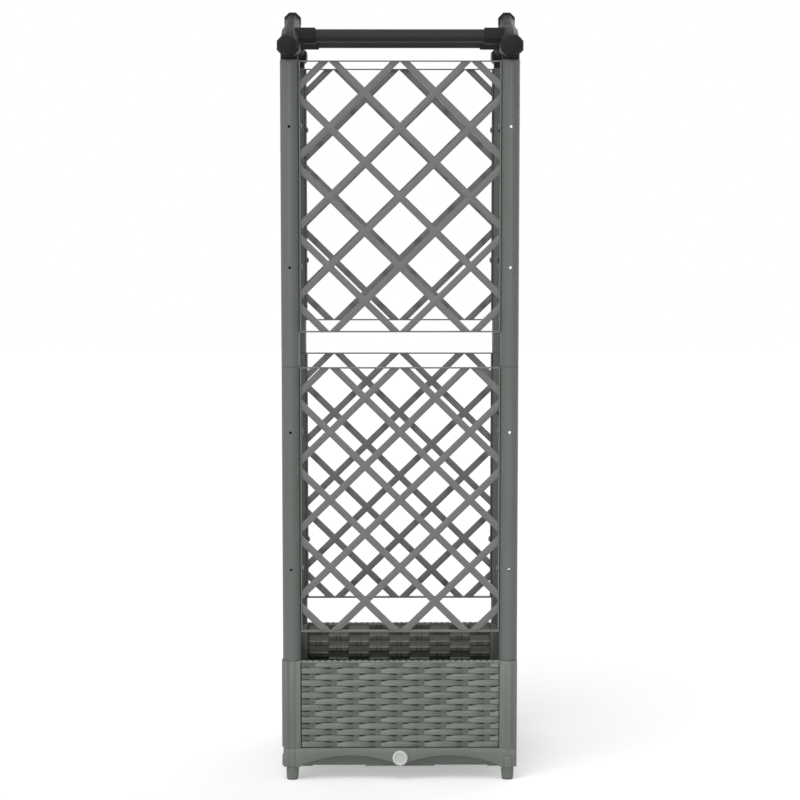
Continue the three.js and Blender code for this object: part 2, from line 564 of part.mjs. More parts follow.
// crossbars: tubes held in the sleeves of the two sides
const barReach = PX - SLEEVE_BACK - FIT;
const crossbar = geometryOf(solid(alongX(raise(ringOutline(BAR_D, SIDES), -barReach, barReach,
  [ringOutline(BAR_D - 2 * BAR_WALL, SIDES)]))));
for (const [side, sy] of [['front', -1], ['back', 1]]) {
  piece(`crossbar_${side}`, crossbar.clone(), FITTING, 0, sy * (PY - TEE_OUT), HUB_Z + TEE_OUT * Math.tan(SLOPE));
}

// ridge joints: level octagonal sleeves over the arms' plugs
function ridgeElbow() {
  const body = solid(alongY(rod(RIDGE_D, -RIDGE_HALF, RIDGE_HALF, FITTING_SIDES)));
  return geometryOf(cut(body, solid(alongY(rod(RIDGE_PLUG_D + 2 * FIT, -RIDGE_HALF - 1, RIDGE_HALF + 1, FITTING_SIDES)))));
}
const elbow = ridgeElbow();
for (const [side, sx] of [['left', -1], ['right', 1]]) piece(`ridge_elbow_${side}`, elbow.clone(), FITTING, sx * PX, 0, RIDGE_Z);

export default planter;
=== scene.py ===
import bpy, bmesh, math
from mathutils import Matrix, Vector
from mathutils.geometry import delaunay_2d_cdt


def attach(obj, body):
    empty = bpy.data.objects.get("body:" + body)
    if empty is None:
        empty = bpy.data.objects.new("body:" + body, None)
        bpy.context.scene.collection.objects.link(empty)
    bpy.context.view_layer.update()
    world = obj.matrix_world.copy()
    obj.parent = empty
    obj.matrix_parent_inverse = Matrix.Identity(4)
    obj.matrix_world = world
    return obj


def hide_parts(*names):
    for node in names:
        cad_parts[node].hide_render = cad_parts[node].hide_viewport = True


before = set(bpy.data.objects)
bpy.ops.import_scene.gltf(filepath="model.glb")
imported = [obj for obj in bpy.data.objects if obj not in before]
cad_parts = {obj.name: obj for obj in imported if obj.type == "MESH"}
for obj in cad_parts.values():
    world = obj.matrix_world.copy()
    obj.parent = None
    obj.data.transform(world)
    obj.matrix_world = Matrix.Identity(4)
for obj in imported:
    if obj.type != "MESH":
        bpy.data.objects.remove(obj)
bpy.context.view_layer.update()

# ---------------------------------------------------------------- sizes in millimetres, as in the CAD
MM = 0.001                                               # metres in a millimetre
FIT = 0.3                                                # clearance between neighbours
PX, PY = 197.5, 147.5                                    # the corners' axes, from the middle
CORNERS = [("front_left", -1, -1), ("front_right", 1, -1), ("back_right", 1, 1), ("back_left", -1, 1)]
FRONT_BACK = [("front", -1), ("back", 1)]
LEVELS = ["lower", "upper"]

HALF, CHAMFER = 16.0, 2.5                                # a column's half width and outer corner
RIB_W, RIB_H = 12.4, 2.5                                 # its broad rib
BAND_W, BAND_H, BAND_GROOVE = 10.6, 0.4, 0.4             # its flat band, with a groove on either side

WALL_BOTTOM, WEAVE_TOP, WALL_TOP = 61.3, 221.6, 223.5
ROWS, ROW_H = 14, 11.45
PITCH, STAKE_W = 40.0, 9.0                               # the stakes' distance and width
SKIN_OUT, SKIN_IN, BULGE = 10.5, 6.5, 2.5                # the weave's faces, out from the columns' axes
RIM_H, RIM_PITCH = 1.9, 11.5

BASE_BOTTOM, BASE_TOP, NOTCH_H = 26.0, 61.0, 14.5
ARCH_DROP, ARCH_RISE = 13.5, 18.5                        # from the skirt's top to an arch, and its height
SKIRT_T = 3.0
LEDGE_Z, LEDGE_W = (55.0, 58.0), 9.75                    # measured from the skirt's outer face

POST_R, POST_WALL, POST_PLUG = 16.5, 2.0, 60.0
POST_Z = {"lower": (223.8, 761.5), "upper": (761.8, 1310.0)}
HOLE_R, TOOL_HOLE_R = 2.5, 7.0

PANEL_W, PANEL_H = 361.4, 485.0
PANEL_Z = {"lower": 275.0, "upper": 823.5}
BORDER_T, BORDER_W = 12.0, 2.0
LATTICE_X, LATTICE_Z, STRIP_W, STRIP_T = 127.0, 124.6, 12.0, 5.5
SCREW_INSET = 117.0                                      # from a panel's ends to its screws

HUB_Z = 1332.7                                           # where a barrel's axis crosses its post's
BARREL_D, BARREL_Y = 39.0, (-44.5, 17.0)                 # its ends, from there
STEM_D, STEM_Z = 28.4, (-62.7, -21.7)                    # the plug in the post
COLLAR_D, COLLAR_Z = 31.0, (-22.4, 0)
TEE_Y, TEE_D, TEE_LENGTH = 59.0, 28.7, 45.0              # the sleeve that holds the crossbar
SOCKET_D, SOCKET_PAST = 32.0, 16.0                       # an arm's thick part ends this far past the sleeve
ARM_D, ARM_RISE = 26.0, 54.0
RIDGE_UP, RIDGE_HALF, RIDGE_D, RIDGE_PLUG_D = 56.0, 12.0, 30.0, 21.0
BALL_R, BALL_Y = 18.0, 210.3                             # a ball's middle is this far from the planter's
BAR_D, BAR_HALF = 23.3, 187.2
DRAIN_Z = 43.4


# ---------------------------------------------------------------- materials
def srgb(r, g, b):
    """A colour as it is seen, each part 0 to 255, made linear."""
    parts = (v / 255 / 12.92 if v <= 10 else ((v / 255 + 0.055) / 1.055) ** 2.4 for v in (r, g, b))
    return tuple(parts) + (1.0,)


def tinted(colour, factor, lift=0.0):
    """A linear colour made lighter or darker, up to white."""
    return tuple(min(1.0, v * factor + lift) for v in colour[:3]) + (1.0,)


class Nodes:
    """A small helper for writing the node tree of a material or a world."""

    MIX_A, MIX_B, MIX_RESULT = 6, 7, 2                   # a Mix node's sockets for colours

    def __init__(self, owner, output):
        self.owner = owner
        owner.use_nodes = True
        self.tree = owner.node_tree
        self.tree.nodes.clear()
        self.out = self.node(output)

    def node(self, kind, **values):
        """A new node; each value sets one of its properties or else the input of that name."""
        n = self.tree.nodes.new("ShaderNode" + kind)
        for key, value in values.items():
            if hasattr(n, key):
                setattr(n, key, value)
            else:
                n.inputs[key.replace("_", " ")].default_value = value
        return n

    def link(self, a, b):
        self.tree.links.new(a, b)

    def feed(self, socket, value):
        """A number or a colour is written into the socket, and an output is linked to it."""
        if isinstance(value, (int, float, tuple)):
            socket.default_value = value
        else:
            self.link(value, socket)

    def noise(self, coords, scale, stretch=(1, 1, 1), detail=3.0):
        m = self.node("Mapping", Scale=[scale * s for s in stretch])
        self.link(coords, m.inputs["Vector"])
        n = self.node("TexNoise", noise_dimensions="3D", Scale=1.0, Detail=detail, Roughness=0.55)
        self.link(m.outputs["Vector"], n.inputs["Vector"])
        return n.outputs["Fac"]

    def span(self, value, lo, hi, to_lo=0.0, to_hi=1.0):
        n = self.node("MapRange", From_Min=lo, From_Max=hi, To_Min=to_lo, To_Max=to_hi)
        self.link(value, n.inputs["Value"])
        return n.outputs["Result"]

    def math(self, op, a, b):
        n = self.node("Math", operation=op)
        self.feed(n.inputs[0], a)
        self.feed(n.inputs[1], b)
        return n.outputs[0]

    def mix(self, fac, a, b, blend="MIX"):
        n = self.node("Mix", data_type="RGBA", blend_type=blend)
        self.feed(n.inputs["Factor"], fac)
        self.feed(n.inputs[self.MIX_A], a)
        self.feed(n.inputs[self.MIX_B], b)
        return n.outputs[self.MIX_RESULT]

    def mix_shader(self, fac, a, b):
        n = self.node("MixShader")
        for socket, output in zip(n.inputs, (fac, a, b)):
            self.link(output, socket)
        return n.outputs[0]

    def shown(self):
        """1 for a ray from the camera, also by way of a gloss or through glass, and 0 for one that lights."""
        rays = self.node("LightPath").outputs
        direct = self.math("MAXIMUM", rays["Is Camera Ray"], rays["Is Glossy Ray"])
        return self.math("MAXIMUM", direct, rays["Is Transmission Ray"])


# waves in a metre, for each kind of noise that every plastic has
DRIFT, MOTTLE, FINE, PORES = 7.0, 55.0, 1500.0, 3400.0
# how the flow noise is scaled along X, Y and Z, so that its streaks run along the small values
UPRIGHT, LEVEL, SIDEWAYS, BANDED = (1, 1, 0.02), (0.05, 0.05, 1), (0.02, 1, 1), (1, 0.02, 0.02)


def plastic(name, colour, cool, rough=0.5, grain=1.0, streak=UPRIGHT, streaks=0.5, wear=0.35,
            specular=0.3, coat=0.0, flow_scale=620.0, painted_lit=False):
    """Moulded resin: slow colour drift, fine leathery grain, flow streaks, worn edges and creases painted
    darker as shade.

    The colour drifts to cool. A painted-lit one is also multiplied by the mesh's painted light and shade.
    """
    colour, cool = srgb(*colour), srgb(*cool)
    dark, light = tinted(colour, 0.86), tinted(colour, 1.1 + 0.14 * streaks)
    # worn is the lighter colour of rubbed edges; the second colour is painted shade for creases
    worn, painted_crease_shade = tinted(colour, 1.55, 0.02), tinted(colour, 0.45)
    n = Nodes(bpy.data.materials.new(name), "OutputMaterial")
    bsdf = n.node("BsdfPrincipled", Specular_IOR_Level=specular, Coat_Weight=coat, Coat_Roughness=0.3)
    n.link(bsdf.outputs[0], n.out.inputs["Surface"])
    at = n.node("TexCoord").outputs["Object"]
    drift = n.noise(at, DRIFT, detail=2.0)
    mottle = n.noise(at, MOTTLE, detail=4.0)
    flow = n.noise(at, flow_scale, stretch=streak, detail=2.0)
    fine = n.noise(at, FINE, detail=2.0)
    pores = n.noise(at, PORES, detail=1.0)
    point = n.node("NewGeometry").outputs["Pointiness"]
    edge = n.math("MULTIPLY", n.span(point, 0.515, 0.62), n.span(mottle, 0.3, 0.6, 0.35, 1.0))
    crease = n.span(point, 0.49, 0.40)

    base = n.mix(n.span(drift, 0.35, 0.65), colour, cool)
    base = n.mix(n.span(mottle, 0.35, 0.75, to_hi=0.45), base, dark)
    base = n.mix(n.span(flow, 0.4, 0.7, to_hi=0.55 * streaks), base, light)
    base = n.mix(n.span(fine, 0.45, 0.7, to_hi=0.22), base, dark)
    base = n.mix(n.math("MULTIPLY", edge, wear), base, worn)
    # painted shade: creases, found by low pointiness, are darkened
    base = n.mix(n.math("MULTIPLY", crease, 0.6), base, painted_crease_shade)
    # painted light and shade, kept for each vertex, multiplies the colour
    if painted_lit:
        painted_light = n.node("Attribute", attribute_name="painted_light").outputs["Fac"]
        base = n.mix(1.0, base, painted_light, "MULTIPLY")
    n.link(base, bsdf.inputs["Base Color"])

    uneven = n.span(mottle, 0.3, 0.7, rough - 0.06, rough + 0.06)
    uneven = n.math("ADD", uneven, n.span(fine, 0.3, 0.7, -0.04, 0.04))
    uneven = n.math("SUBTRACT", uneven, n.math("MULTIPLY", edge, 0.08))
    n.link(uneven, bsdf.inputs["Roughness"])

    pitted = n.math("ADD", n.math("MULTIPLY", fine, 0.6), n.math("MULTIPLY", pores, 0.3))
    height = n.math("ADD", n.math("MULTIPLY", flow, streaks), pitted)
    bump = n.node("Bump", Strength=0.35 * grain, Distance=0.0004)
    n.link(height, bump.inputs["Height"])
    n.link(bump.outputs[0], bsdf.inputs["Normal"])
    return n.owner


resin = plastic("resin_smooth", (115, 119, 114), (110, 115, 108), rough=0.42, streaks=0.35, specular=0.24)
resin_tube = plastic("resin_tube", (109, 113, 109), (105, 109, 104), rough=0.42, streaks=0.35, wear=0.25,
                     specular=0.22)
resin_weave = plastic("resin_woven", (113, 120, 112), (106, 113, 104), streak=LEVEL, streaks=1.4, wear=0.3,
                      flow_scale=420.0, painted_lit=True)
# the stakes behind the bands: the resin painted darker as shade
resin_stake_painted_shade = plastic("resin_stake_painted_shade", (96, 102, 95), (89, 95, 88), rough=0.55, streaks=0.8, wear=0.25)
# a dark sheet behind the bands: painted shade where only shade is seen
resin_recess_painted_shade = plastic("resin_recess_painted_shade", (46, 50, 45), (40, 43, 39), rough=0.7, streaks=0.4, wear=0.1)
# the walls' inner faces: the resin painted darker as shade
resin_inside_painted_shade = plastic("resin_inside_painted_shade", (95, 98, 92), (88, 91, 85), rough=0.55, streak=LEVEL, streaks=0.9,
                       wear=0.2, flow_scale=420.0, painted_lit=True)
resin_lattice = plastic("resin_lattice", (118, 120, 117), (115, 116, 114), streaks=0.25, wear=0.02)
# the back panels: the lattice's resin painted darker as shade
resin_lattice_back_painted_shade = plastic("resin_lattice_back_painted_shade", (107, 109, 106), (104, 105, 103), streaks=0.25, wear=0.02)
# the resin painted darker as shade: for the tray, the soil floor and the feet's bottom band
resin_dark = plastic("resin_dark", (96, 101, 95), (89, 94, 88), rough=0.55, streaks=0.3, wear=0.3)
fitting = plastic("fitting_black", (50, 51, 50), (45, 46, 46), rough=0.4, streak=SIDEWAYS, streaks=0.3,
                  wear=0.03, specular=0.03)
ball_black = plastic("ball_black", (52, 53, 52), (47, 48, 48), streaks=0.3, wear=0.0, specular=0.02)
bar_black = plastic("bar_black", (61, 62, 61), (56, 57, 57), rough=0.36, streak=BANDED, streaks=0.3,
                    wear=0.05, specular=0.05)
plug_light = plastic("plug_grey", (217, 218, 215), (208, 210, 208), rough=0.35, grain=0.5, streaks=0.2,
                     wear=0.2)
plug_face = plastic("plug_face", (207, 207, 206), (200, 200, 199), rough=0.4, grain=0.6, streaks=0.2,
                    wear=0.2)
# black rubber for the seal, also used as painted shade inside the posts and in the screws' recesses
rubber_and_painted_shade = plastic("seal_rubber", (28, 28, 28), (24, 24, 25), rough=0.8, grain=1.2, streaks=0.2, wear=0.2)
steel = plastic("screw_steel", (66, 67, 65), (54, 55, 54), rough=0.28, grain=0.4, streaks=0.3, wear=0.6,
                specular=0.8, coat=0.4)


# ---------------------------------------------------------------- mesh helpers, in millimetres
WELD = 0.004                                             # vertices nearer than this become one
SHARP = 38.0                                             # an angle over this many degrees is a hard edge
STRAIGHT = math.radians(176)                             # a flatter corner isn't softened
ROUND = 0.29                                             # where the middle of a rounded rim lies
MITRE = 0.35                                             # limits how far an inset moves a sharp corner


class Shape:
    """Vertices and faces gathered from simple lofts; a face has a material, a vertex has a painted light and
    shade value.
    """

    def __init__(self):
        self.verts = []
        self.faces = []
        self.mats = []
        self.tones = []

    def add(self, verts, faces, mat=0, at=None, tones=None):
        """Takes in a loft, moved by at, with one material and either plain or with painted light and shade
        for each vertex.
        """
        base = len(self.verts)
        self.tones += tones if tones else [1.0] * len(verts)
        self.verts += [tuple(at @ Vector(v)) if at is not None else tuple(v) for v in verts]
        self.faces += [tuple(base + i for i in f) for f in faces]
        self.mats += [mat] * len(faces)

    def object(self, name, mats, at=None, sharp=SHARP):
        """The finished object, moved by at."""
        me = bpy.data.meshes.new(name)
        place = Matrix.Scale(MM, 4) @ (at if at is not None else Matrix())
        me.from_pydata([place @ Vector(v) for v in self.verts], [], self.faces)
        for m in mats:
            me.materials.append(m)
        me.polygons.foreach_set("material_index", self.mats)
        # each vertex's painted light and shade
        me.attributes.new("painted_light", "FLOAT", "POINT").data.foreach_set("value", self.tones)
        bm = bmesh.new()
        bm.from_mesh(me)
        bmesh.ops.remove_doubles(bm, verts=bm.verts, dist=WELD * MM)
        bm.to_mesh(me)
        bm.free()
        me.shade_smooth()
        me.set_sharp_from_angle(angle=math.radians(sharp))
        ob = bpy.data.objects.new(name, me)
        bpy.context.scene.collection.objects.link(ob)
        return ob


def bridge(loops, closed=True, capped=True):
    """Faces between loops of equal length, which run counterclockwise seen from the last one's end."""
    n = len(loops[0])
    verts = [v for loop in loops for v in loop]
    faces = []
    for j in range(len(loops) - 1):
        for i in range(n if closed else n - 1):
            a, b = j * n + i, j * n + (i + 1) % n
            faces.append((a, b, b + n, a + n))
    if capped:
        faces.append(tuple(reversed(range(n))))
        faces.append(tuple(range((len(loops) - 1) * n, len(loops) * n)))
    return verts, faces


def turned(faces):
    """The same faces, facing the other way."""
    return [tuple(reversed(f)) for f in faces]


def rect(x0, y0, x1, y1):
    """A rectangle's corners, counterclockwise."""
    return [(x0, y0), (x1, y0), (x1, y1), (x0, y1)]


def ring(d, sides, soft=0.0):
    """A regular outline measured across its flats, its corners softened by a small radius."""
    r = d / 2 / math.cos(math.pi / sides)
    turns = [(i + 0.5) * 2 * math.pi / sides for i in range(sides)]
    pts = [(r * math.cos(t), r * math.sin(t)) for t in turns]
    return soften(pts, soft) if soft else pts


def soften(points, radius, steps=3):
    """Every corner of an outline replaced by a small arc; radius is a number or a list, one per corner."""
    out = []
    for i, point in enumerate(points):
        p, a, b = Vector(point), Vector(points[i - 1]), Vector(points[(i + 1) % len(points)])
        r = radius[i] if isinstance(radius, list) else radius
        u, v = (a - p).normalized(), (b - p).normalized()
        angle = u.angle(v)
        if r <= 0 or angle > STRAIGHT:
            out.append(tuple(p))
            continue
        t = min(r / math.tan(angle / 2), 0.48 * (a - p).length, 0.48 * (b - p).length)
        p0, p1 = p + u * t, p + v * t
        for s in range(steps + 1):
            q = s / steps
            out.append(tuple((1 - q) ** 2 * p0 + 2 * q * (1 - q) * p + q * q * p1))
    return out


def inset(points, d):
    """An outline moved inward by d (counterclockwise outline)."""
    out = []
    for i, point in enumerate(points):
        p, a, b = Vector(point), Vector(points[i - 1]), Vector(points[(i + 1) % len(points)])
        e0, e1 = (p - a).normalized(), (b - p).normalized()
        n0, n1 = Vector((-e0.y, e0.x)), Vector((-e1.y, e1.x))
        m = n0 + n1
        m = m / max(MITRE, m.length_squared / 2) if m.length > 1e-6 else n0
        out.append(tuple(p + m * d))
    return out


def raised(points, z0, z1, edge):
    """The loops of an outline raised from z0 to z1, with both rims rounded by edge."""
    k = edge * ROUND
    loops = []
    for d, z in ((edge, z0), (k, z0 + k), (0, z0 + edge), (0, z1 - edge), (k, z1 - k), (edge, z1)):
        loops.append([(x, y, z) for x, y in (inset(points, d) if d else points)])
    return loops


def prism(outline, z0, z1, edge=0.6):
    """An outline raised from z0 to z1 as a closed body with rounded rims."""
    return bridge(raised(outline, z0, z1, edge))


def lathe(profile, sides=48, closed=False):
    """A profile of (radius, height) turned round Z; closed joins its last point to its first."""
    turns = [2 * math.pi * (i + 0.5) / sides for i in range(sides)]
    verts = [(r * math.cos(t), r * math.sin(t), z) for r, z in profile for t in turns]
    rows = len(profile)
    faces = []
    for j in range(rows if closed else rows - 1):
        low, high = j * sides, (j + 1) % rows * sides
        for i in range(sides):
            k = (i + 1) % sides
            faces.append((low + i, low + k, high + k, high + i))
    return verts, faces


def in_outline(x, y, pts):
    """Whether a point lies inside: a line from it to the right crosses the outline an odd number of times."""
    hit = False
    for (xa, ya), (xb, yb) in zip(pts, pts[1:] + pts[:1]):
        if (ya > y) != (yb > y) and x < xa + (xb - xa) * (y - ya) / (yb - ya):
            hit = not hit
    return hit


def plate(outer, holes, thick, edge, outer_edge=None):
    """A flat plate in X and Y with clockwise holes, centred on z 0, its rims rounded."""
    verts = []
    faces = []
    rims = []
    top = thick / 2
    for n, pts in enumerate([outer] + holes):
        loops = raised(pts, -top, top, edge if n or outer_edge is None else outer_edge)
        v, f = bridge(loops, capped=False)
        faces += [tuple(len(verts) + i for i in q) for q in f]
        verts += v
        rims.append([p[:2] for p in loops[0]])
    flat = [Vector(p) for rim in rims for p in rim]
    edges = []
    start = 0
    for rim in rims:
        edges += [(start + i, start + (i + 1) % len(rim)) for i in range(len(rim))]
        start += len(rim)
    co, _, tris, _, _, _ = delaunay_2d_cdt(flat, edges, [], 0, 1e-6)
    for tri in tris:
        x, y = sum(co[i].x for i in tri) / 3, sum(co[i].y for i in tri) / 3
        if not in_outline(x, y, rims[0]) or any(in_outline(x, y, rim) for rim in rims[1:]):
            continue
        p = [co[i] for i in tri]
        if (p[1] - p[0]).cross(p[2] - p[0]) < 0:
            p.reverse()
        base = len(verts)
        verts += [(q.x, q.y, top) for q in p] + [(q.x, q.y, -top) for q in p]
        faces += [(base, base + 1, base + 2), (base + 5, base + 4, base + 3)]
    return verts, faces


def fit(ob, node, body="planter"):
    """Puts a finished piece in the place of the CAD's node, which it hides, and under its body."""
    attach(ob, body)
    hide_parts(node)


def turn_z(k):
    """k quarter turns, counterclockwise from above."""
    return Matrix.Rotation(k * math.pi / 2, 4, "Z")


def smooth(t):
    """From 0 to 1 while t does, with a soft start and end, and level beyond."""
    t = min(1.0, max(0.0, t))
    return t * t * (3 - 2 * t)


# ---------------------------------------------------------------- box walls
RESIN, WEAVE, STAKE, RECESS, INSIDE = range(5)           # a wall's materials, by slot
CORE_OUT, CORE_IN = 8.2, 7.2                             # the dark sheet behind the bands
RIM_OUT = SKIN_OUT + BULGE


def column_outline(rib):
    """A corner column's section: ribbed on the front, banded on the right side."""
    b, g = BAND_W / 2, BAND_GROOVE
    band = [(HALF, b + 2 * g), (HALF - g, b + g), (HALF - g, b), (HALF + BAND_H, b - g / 2)]
    pts = [(-HALF, -HALF)]
    radii = [0.9]
    if rib:
        pts += [(-RIB_W / 2, -HALF), (-RIB_W / 2, -HALF - RIB_H), (RIB_W / 2, -HALF - RIB_H),
                (RIB_W / 2, -HALF)]
        radii += [0.5, 0.9, 0.9, 0.5]
    pts += [(HALF - CHAMFER, -HALF), (HALF, CHAMFER - HALF)]
    pts += [(x, -y) for x, y in band] + band[::-1]
    pts += [(HALF, HALF), (-HALF, HALF)]
    radii += [1.6, 1.6, 0, 0, 0, 0.1, 0.1, 0, 0, 0, 0.9, 0.9]
    return soften(pts, radii)


def within(stations, c, x0, x1, least):
    """The stations round c that lie between x0 and x1, closed off at these; none if fewer than least do."""
    us = [u for u in stations if x0 < c + u < x1]
    if len(us) < least:
        return []
    if c + stations[0] <= x0:
        us = [x0 - c] + us
    if c + stations[-1] >= x1:
        us = us + [x1 - c]
    return us


# a strand's length is 71 mm; its sections stand closer together toward its ends
STRAND_END = 35.5
STRAND_HALF = [STRAND_END, 35.3, 34.9, 34.2, 32.8, 30.5, 27.5, 24.0, 20.0, 15.0, 10.0, 5.0]
STRAND_STATIONS = [-u for u in STRAND_HALF] + [0.0] + STRAND_HALF[::-1]
# for its left and its right end: the rise at the tip, what is gained toward the crest and over how many
# millimetres; what the end narrows from above, from where on and over how many millimetres
LEFT_END = (0.42, 0.58, 14.0, 1.4, 18.5, 15.0)
RIGHT_END = (-0.35, 1.35, 22.0, 1.25, 15.0, 18.0)
GAP_ABOVE, GAP_BELOW = 0.15, 0.1                         # from a strand to its row's limits
GAP_LEFT, GAP_RIGHT = 1.4, 1.3                           # from the strands to the wall's ends
TIP_LENGTH, TIP_NARROWS, TIP_SINKS = 0.9, 0.7, 0.8
STRAND_ROUND, STRAND_CROWN, STRAND_RIDGES = 2.8, 0.3, 0.13
ACROSS_STRAND = 14


def strand_painted_light(u, f, lens):
    """Painted light and shade on a band: up to 0.24 lighter toward the left end, as if lit from the left, up
    to 0.27 darker toward the right one, and a painted shadow in the wedge that a narrowed end leaves above
    it; u is the place along the strand and f the one across, -1 to 1.
    """
    painted_light = 1.02 + (0.24 * smooth((-u - 2) / 26) if u < 0 else -0.27 * smooth((u - 4) / 26))
    if f > 0.55:
        painted_light *= 1 - 0.75 * smooth(lens / 1.1) * smooth((f - 0.45) / 0.35)
    return painted_light


def strand(shape, c, z0, x0, x1, out):
    """A band of the weave: proud at its left end, highest over its stake, and diving in at its right end."""
    loops = []
    tones = []
    for u in within(STRAND_STATIONS, c, x0, x1, 1):
        low_rise, gain, gain_over, narrows, narrows_from, narrows_over = LEFT_END if u < 0 else RIGHT_END
        to_end = STRAND_END - abs(u)
        rise = BULGE * (low_rise + gain * smooth(to_end / gain_over))
        lens = narrows * smooth((abs(u) - narrows_from) / narrows_over)
        tip = 1 - smooth(to_end / TIP_LENGTH)
        top = z0 + ROW_H - GAP_ABOVE - lens - TIP_NARROWS * tip
        low = z0 + GAP_BELOW + TIP_NARROWS * tip
        middle, half = (top + low) / 2, (top - low) / 2
        front = SKIN_OUT + rise - TIP_SINKS * tip
        loop = []
        for k in range(ACROSS_STRAND + 1):
            f = -1 + 2 * k / ACROSS_STRAND                   # from the lower edge, -1, to the upper, 1
            z = middle + half * math.copysign(1 - (1 - abs(f)) ** 1.5, f)
            edge = 1 - abs(f) ** 4
            ridge = STRAND_RIDGES * math.cos(4 * math.pi * f) * min(1.0, edge * 2)
            back = STRAND_ROUND * (1 - max(0.0, edge) ** 0.5)
            loop.append((c + u, -(out + front - back - STRAND_CROWN * f * f + ridge), z))
            tones.append(strand_painted_light(u, f, lens))
        loops.append(loop)
    if not loops:
        return
    verts, faces = bridge(loops, closed=False, capped=False)
    n = ACROSS_STRAND + 1
    ends = [tuple(range(n)), tuple(reversed(range((len(loops) - 1) * n, len(loops) * n)))]
    shape.add(verts, turned(faces) + ends, WEAVE, tones=tones)


BLOCK_END, GROOVE_U = 20, 3.6                            # a block's half length, and where its grooves are
BLOCK_HALF = [BLOCK_END, 19.8, 19.3, 18.2, 5.0, 4.3, 3.6, 2.9, 2.2]
BLOCK_STATIONS = [-u for u in BLOCK_HALF] + [0] + BLOCK_HALF[::-1]
BLOCK_RISE, BLOCK_SUNK = 3.4, 0.2
BLOCKS_FROM = 66.0                                       # the lowest row's blocks start higher than the wall
ACROSS_BLOCK = 16


def block_painted_light(z, f, groove):
    """Painted light on a block: a painted highlight along its top, painted shadow below it and painted shade
    in the grooves; the topmost rows are painted darker as shade.
    """
    painted_light = 0.9 + smooth((f - 0.5) / 0.15) - 0.66 * smooth((-f - 0.55) / 0.2)
    return painted_light * (1 - 0.45 * groove) * (1 - 0.24 * smooth((z - 188) / 14))


def inner_block(shape, c, z0, z1, x0, x1, out):
    """The inside of a woven row: a raised block with two fine grooves, where the band passes the stake."""
    loops = []
    tones = []
    middle, half = (z0 + z1) / 2, (z1 - z0) / 2 - GAP_ABOVE
    for u in within(BLOCK_STATIONS, c, x0, x1, 2):
        from_groove = abs(abs(u) - GROOVE_U)
        lift = BLOCK_RISE * smooth((BLOCK_END + BLOCK_SUNK - abs(u)) / 1.2) - max(0.0, 1 - from_groove / 1.2)
        loop = []
        for k in range(ACROSS_BLOCK + 1):
            f = -1 + 2 * k / ACROSS_BLOCK                    # from the lower edge, -1, to the upper, 1
            z = middle + half * f
            bulge = (lift + BLOCK_SUNK) * max(0.0, 1 - abs(f) ** 8) ** 0.5
            loop.append((c + u, -(out + SKIN_IN + BLOCK_SUNK - bulge), z))
            tones.append(block_painted_light(z, f, max(0.0, 1 - from_groove / 1.5)))
        loops.append(loop)
    if loops:
        verts, faces = bridge(loops, closed=False, capped=False)
        shape.add(verts, faces, INSIDE, tones=tones)


STAKE_REACH, STAKE_ROUND, STAKE_CROWN = 5.6, 5.8, 0.9    # half its width behind the bands, and its arch
STAKE_RIB, RIB_PITCH = 0.35, 3.5                         # the depth and distance of its fine grooves
STAKE_BACK, STAKE_GAP = 8.0, 0.6                         # its back, and its distance from the wall's ends


def stake(shape, c, x0, x1, out):
    """A crowned, ribbed upright."""
    left, right = max(c - STAKE_REACH, x0 + STAKE_GAP), min(c + STAKE_REACH, x1 - STAKE_GAP)
    steps = 16
    front = []
    for j in range(steps + 1):
        x = left + (right - left) * j / steps
        crown = STAKE_CROWN * (1 - ((x - c) / STAKE_ROUND) ** 2) ** 0.5
        rib = STAKE_RIB * abs(math.sin(math.pi * (x - c + RIB_PITCH / 2) / RIB_PITCH)) ** 6
        front.append((x, -(out + SKIN_OUT - STAKE_CROWN + crown - rib)))
    line = [(right, -out - STAKE_BACK), (left, -out - STAKE_BACK)] + front
    loops = [[(x, y, z) for x, y in line] for z in (WALL_BOTTOM, WEAVE_TOP)]
    shape.add(*bridge(loops), STAKE)


RIM_SUNK, RIM_FOOT = 1.3, 2.2                            # how far its edges and its foot lie in the weave
RIM_TWIST = 0.25                                         # of a lobe, from its outer to its inner edge
# the cord's foot is painted darker as shade
RIM_FOOT_PAINTED_SHADE = 0.9


def rim(shape, x0, x1, out):
    """The twisted cord along the top edge, with a painted highlight on its lobes and painted shade at its
    foot.
    """
    twists = round((x1 - x0) / RIM_PITCH)
    cols, across = twists * 10, 8
    foot_z = WEAVE_TOP - RIM_FOOT
    loops = []
    tones = []
    for i in range(cols + 1):
        x = x0 + (x1 - x0) * i / cols
        loop = [(x, -out - RIM_OUT, foot_z)]
        tones.append(RIM_FOOT_PAINTED_SHADE)
        for j in range(across + 1):
            t = j / across
            y = -out - RIM_OUT + (RIM_OUT - SKIN_IN) * (1 - math.cos(math.pi * t)) / 2
            phase = (x - x0) / (x1 - x0) * twists + RIM_TWIST * (t - 0.5)
            lobe = abs(math.sin(math.pi * phase)) ** 0.7
            arch = math.sin(math.pi * t) ** 0.45
            rise = arch * (0.42 + 0.58 * lobe)
            loop.append((x, y, WEAVE_TOP - RIM_SUNK + (RIM_SUNK + RIM_H) * rise))
            # painted highlight on the lobes, painted shade between them
            tones.append(0.8 + 0.75 * arch * lobe)
        loop.append((x, -out - SKIN_IN, foot_z))
        tones.append(RIM_FOOT_PAINTED_SHADE)
        loops.append(loop)
    verts, faces = bridge(loops)
    shape.add(verts, turned(faces), WEAVE, tones=tones)


def sheet(shape, x0, x1, y0, y1, mat, painted_light=1.0):
    """A flat sheet, as high as the weave."""
    verts, faces = prism(rect(x0, y0, x1, y1), WALL_BOTTOM, WEAVE_TOP, 0.1)
    shape.add(verts, faces, mat, tones=[painted_light] * len(verts))


